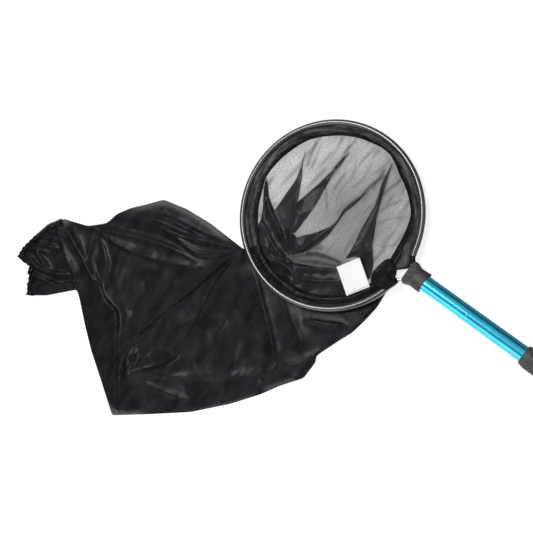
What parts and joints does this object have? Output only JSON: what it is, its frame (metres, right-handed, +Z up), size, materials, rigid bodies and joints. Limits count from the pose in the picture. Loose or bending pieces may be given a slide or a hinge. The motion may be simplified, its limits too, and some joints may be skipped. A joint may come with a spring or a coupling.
{
  "type": "pond sock net",
  "caption": "Round hoop net with a long fine-mesh sleeve on a twist-lock telescopic handle, for lifting fish and debris from ponds and pools.",
  "frame": {"origin": "centre of the hanging hole in the end cap, on the handle's axis", "axes": "+X along the handle from the hoop to the hanging hole, +Z up out of the hoop's plane, the net lying flat"},
  "size_m": [1.2625, 0.6477, 0.0344],
  "materials": {
    "steel_rod": "bright drawn",
    "guard_vinyl": "gloss black",
    "hem_cloth": "doubled satin mesh",
    "net_mesh": "fine mesh with a satin sheen",
    "thread": "spun thread",
    "label_cloth": "woven, white",
    "grey_rubber": "matte, fine grain",
    "black_nylon": "moulded",
    "rivet_metal": "bare",
    "teal_anodised": "anodised, satin gloss",
    "pin_steel": "ground",
    "white_acetal": "moulded",
    "grey_plastic": "fine grain",
    "grip_rubber": "matte"
  },
  "bodies": {
    "handle": {"rear_tube": "teal_anodised", "lock_body": "grey_plastic", "lock_body_pins": "pin_steel", "hand_grip": "grip_rubber", "end_cap": "grey_plastic", "cap_rivet": "rivet_metal"},
    "head": {"hoop_rod": "steel_rod", "hoop_guard": "guard_vinyl", "net_hem": "hem_cloth", "net_sleeve": "net_mesh", "tail_hem": "hem_cloth", "hem_thread": "thread", "net_label": "label_cloth", "label_stitches": "thread", "head_collar": "grey_rubber", "leg_plug": "black_nylon", "plug_rivet": "rivet_metal", "front_tube": "teal_anodised", "tube_end_plug": "black_nylon", "end_plug_pin": "pin_steel"},
    "clamp_ring": {"clamp_ring": "white_acetal"},
    "lock_nut": {"lock_nut": "grey_rubber"}
  },
  "joints": [
    {"name": "head_slide", "type": "slide", "parent": "handle", "child": "head", "axis": [-1, 0, 0], "range_m": [-0.094, 0.168]},
    {"name": "ring_slide", "type": "slide", "parent": "handle", "child": "clamp_ring", "axis": [-1, 0, 0], "range_m": [0, 0.0015]},
    {"name": "nut_turn", "type": "hinge", "parent": "clamp_ring", "child": "lock_nut", "pos_m": [-0.425, 0, 0], "axis": [-1, 0, 0], "range_deg": [0, 180]}
  ],
  "couplings": [
    {"joint": "ring_slide", "follows": "nut_turn", "m_per_rad": 0.000477}
  ]
}
